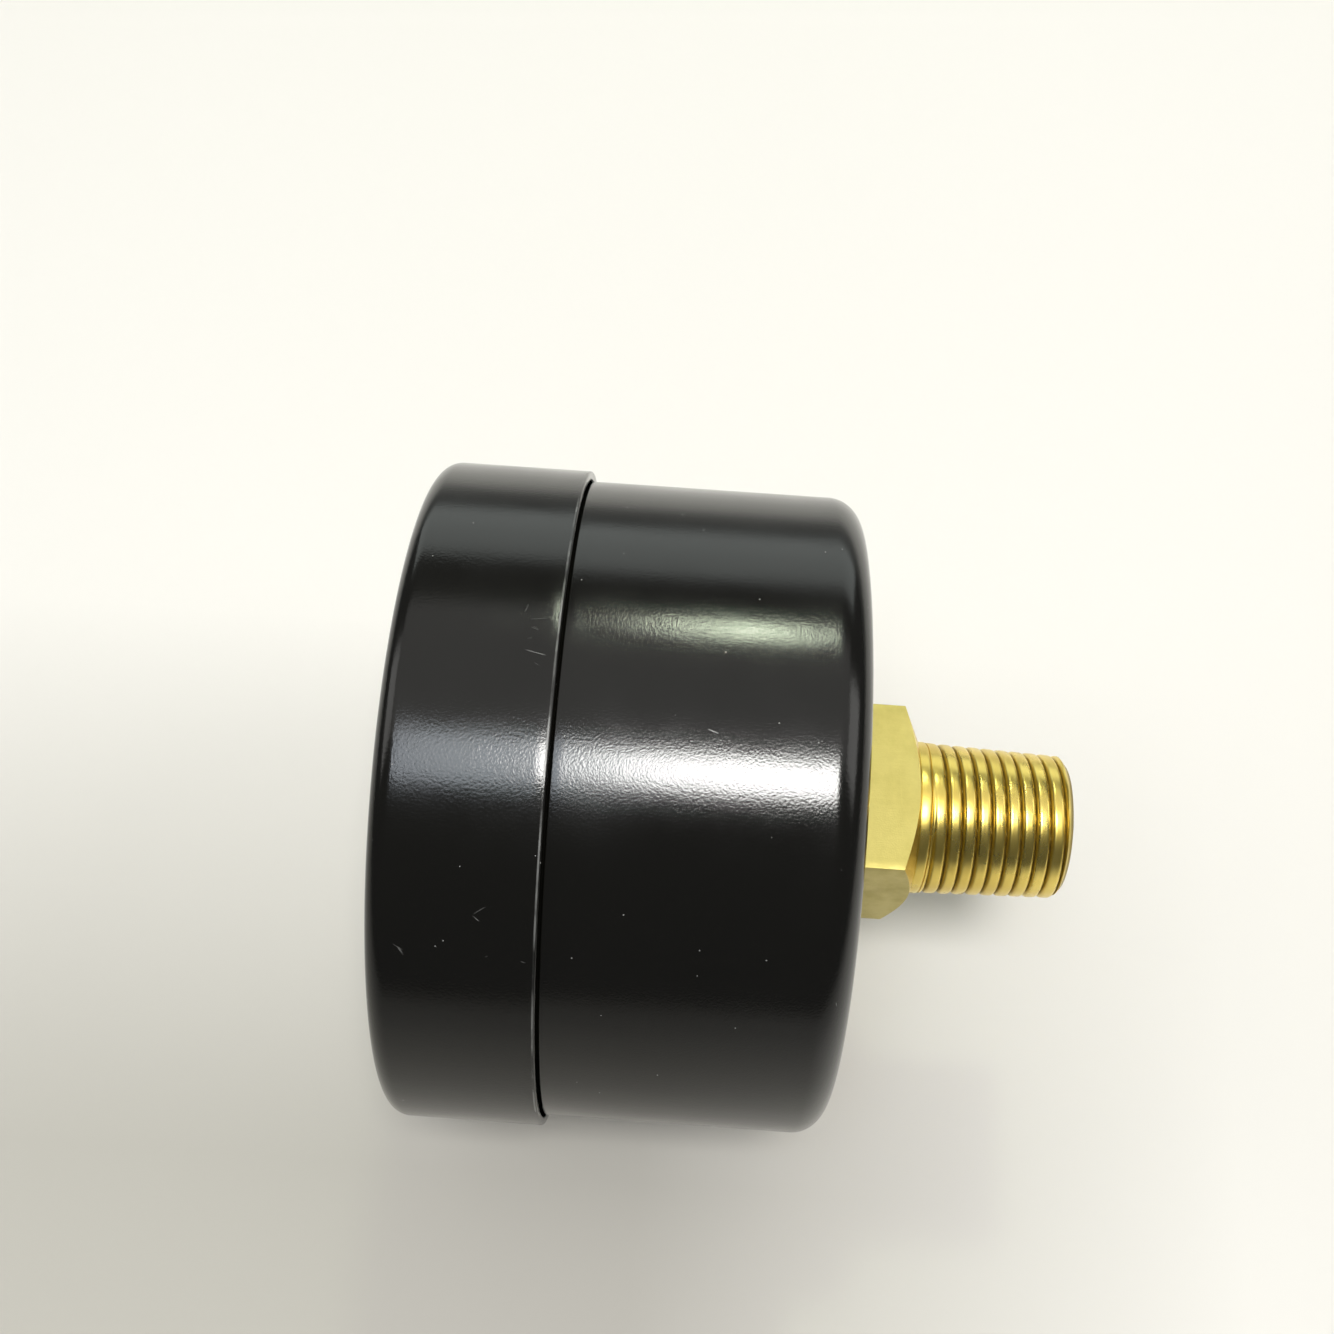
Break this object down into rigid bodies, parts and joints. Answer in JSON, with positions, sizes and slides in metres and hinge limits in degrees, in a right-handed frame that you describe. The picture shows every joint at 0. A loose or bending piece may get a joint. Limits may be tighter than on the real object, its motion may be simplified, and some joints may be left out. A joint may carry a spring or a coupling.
{
  "type": "pressure gauge",
  "caption": "Round dial pressure gauge: black steel case and bezel ring, clear window, bourdon tube movement, and a square brass stem with a taper pipe thread at the back.",
  "frame": {"origin": "on the stem's axis, at the gauge plane of its taper pipe thread, 4.1 mm from the stem's end", "axes": "+Y along the stem, away from the dial; the dial faces -Y; +Z is 12 o'clock and +X is 3 o'clock seen from the front"},
  "size_m": [0.0426, 0.0417, 0.0426],
  "materials": {
    "case_paint": "gloss black enamel",
    "bezel_paint": "gloss black enamel",
    "case_screws": "zinc plated",
    "window": "clear plastic",
    "gasket": "matte",
    "dial": "satin white with black scale",
    "small_screws": "plain",
    "turned_brass": "turned",
    "pointer": "matte black",
    "socket_brass": "machined, dulled",
    "tube_bronze": "drawn, soldered",
    "sheet_brass": "rolled",
    "hairspring": "spring bronze"
  },
  "bodies": {
    "gauge": {"case": "case_paint", "bezel_ring": "bezel_paint", "case_screws": "case_screws", "window": "window", "window_gasket": "gasket", "dial_plate": "dial", "dial_screws": "small_screws", "dial_posts": "turned_brass", "stop_pin": "small_screws", "socket": "socket_brass", "passage_plug": "turned_brass", "inlet_restrictor": "turned_brass", "bourdon_tube": "tube_bronze", "movement_front_plate": "sheet_brass", "movement_back_plate": "sheet_brass", "movement_pillars": "turned_brass", "movement_screws": "small_screws", "hairspring": "hairspring", "hairspring_stud": "turned_brass"},
    "pointer": {"pointer": "pointer", "pointer_bush": "turned_brass", "pinion_shaft": "small_screws", "hairspring_collet": "turned_brass"},
    "sector": {"sector_gear": "sheet_brass", "sector_arbor": "small_screws", "sector_pin": "small_screws"},
    "tube_tip": {"tip_block": "socket_brass", "tip_pin": "small_screws"},
    "link": {"link": "sheet_brass"}
  },
  "joints": [
    {"name": "pointer_turn", "type": "hinge", "parent": "gauge", "child": "pointer", "pos_m": [0, -0.0226, 0], "axis": [0, 1, 0], "range_deg": [0, 270], "stiffness_Nm_per_rad": 0.0002, "deforming": ["hairspring"]},
    {"name": "sector_swing", "type": "hinge", "parent": "gauge", "child": "sector", "pos_m": [0, -0.0226, -0.0084], "axis": [0, 1, 0], "range_deg": [-45, 0]},
    {"name": "tip_swing", "type": "hinge", "parent": "gauge", "child": "tube_tip", "pos_m": [-0.00167, -0.0226, 0.0046], "axis": [0, 1, 0], "range_deg": [-8.81, 0], "deforming": ["bourdon_tube"]},
    {"name": "link_swing", "type": "hinge", "parent": "tube_tip", "child": "link", "pos_m": [0.01039, -0.0226, -0.006], "axis": [0, 1, 0], "range_deg": [0, 2.84]}
  ],
  "couplings": [
    {"joint": "sector_swing", "follows": "pointer_turn", "ratio": -0.16667},
    {"joint": "tip_swing", "follows": "pointer_turn", "ratio": -0.032625},
    {"joint": "link_swing", "follows": "pointer_turn", "ratio": 0.010512}
  ]
}
